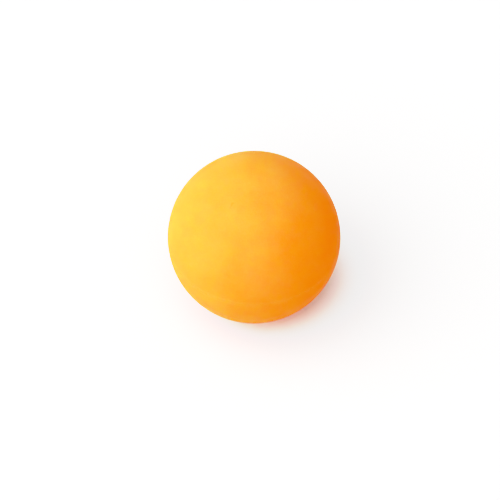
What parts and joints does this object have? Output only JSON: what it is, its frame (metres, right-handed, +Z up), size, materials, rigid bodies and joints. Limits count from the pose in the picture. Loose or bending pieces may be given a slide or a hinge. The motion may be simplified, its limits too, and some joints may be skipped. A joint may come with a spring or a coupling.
{
  "type": "table tennis ball",
  "caption": "Hollow matt plastic ball for table tennis, made of moulded half shells cemented at a lapped seam round the equator.",
  "frame": {"origin": "centre of the ball", "axes": "+Z up through both poles, square to the plane of the seam; the ball is the same all round +Z"},
  "size_m": [0.04, 0.04, 0.04],
  "materials": {
    "shell": "matte",
    "cement": "satin"
  },
  "bodies": {
    "root": {"upper_half_shell": "shell", "lower_half_shell": "shell", "cement_ring": "cement"}
  },
  "joints": []
}
